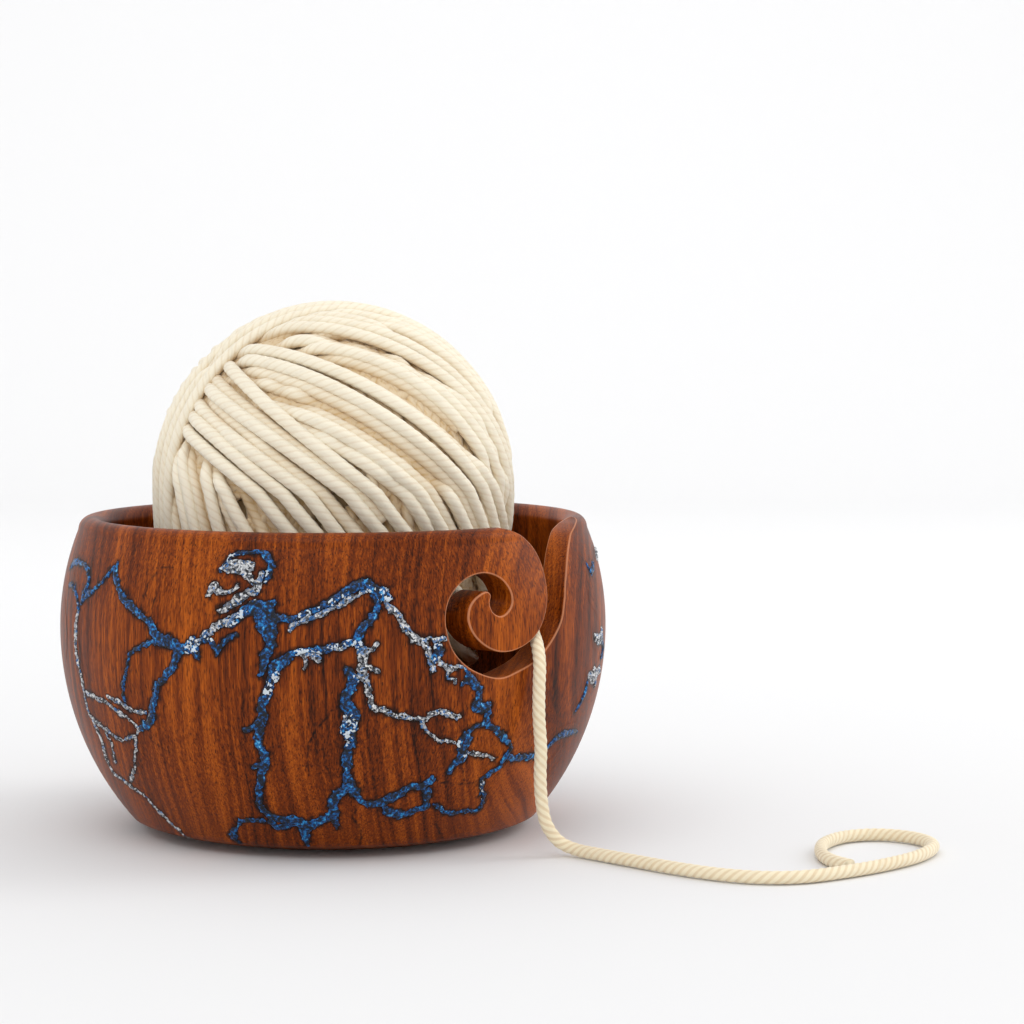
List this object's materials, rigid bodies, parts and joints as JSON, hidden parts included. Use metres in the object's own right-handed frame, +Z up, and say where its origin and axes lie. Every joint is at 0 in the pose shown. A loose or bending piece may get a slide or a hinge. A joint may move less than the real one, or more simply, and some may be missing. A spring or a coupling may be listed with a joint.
{
  "type": "yarn bowl",
  "caption": "Turned hardwood yarn bowl with a spiral yarn guide and resin-filled burnt veins, holding a wound ball of yarn whose strand leads out through the guide",
  "frame": {"origin": "centre of the bowl's foot, on the table", "axes": "+Z up along the bowl's turning axis, -Y toward the viewer of the bowl's front, +X to the right, where the strand lies"},
  "size_m": [0.2803, 0.1951, 0.172],
  "materials": {
    "hardwood": "turned red-brown hardwood, oiled and polished to a satin gloss",
    "blue_resin": "cast pearl-blue epoxy resin, glossy and a little lumpy",
    "silver_resin": "cast resin filled with crumpled silver leaf, glossy",
    "yarn": "cream plied wool yarn, matte",
    "yarn_inner": "the same cream yarn, wound inside the ball"
  },
  "bodies": {
    "bowl": {"bowl": "hardwood", "blue_vein_left": "blue_resin", "silver_vein_left": "silver_resin", "blue_vein_centre": "blue_resin", "silver_vein_centre": "silver_resin", "blue_vein_right": "blue_resin", "silver_vein_right": "silver_resin", "blue_vein_back": "blue_resin", "silver_vein_back": "silver_resin", "working_strand": "yarn"},
    "ball_core": {"yarn_ball_core": "yarn_inner"},
    "ball_windings": {"yarn_ball_windings": "yarn"}
  },
  "joints": [
    {"name": "ball_lift", "type": "slide", "parent": "bowl", "child": "ball_core", "axis": [0, 0, 1], "range_m": [0, 0.11]},
    {"name": "ball_turn", "type": "hinge", "parent": "ball_core", "child": "ball_windings", "pos_m": [0, 0, 0.112], "axis": [0, 0, 1], "continuous": true}
  ]
}
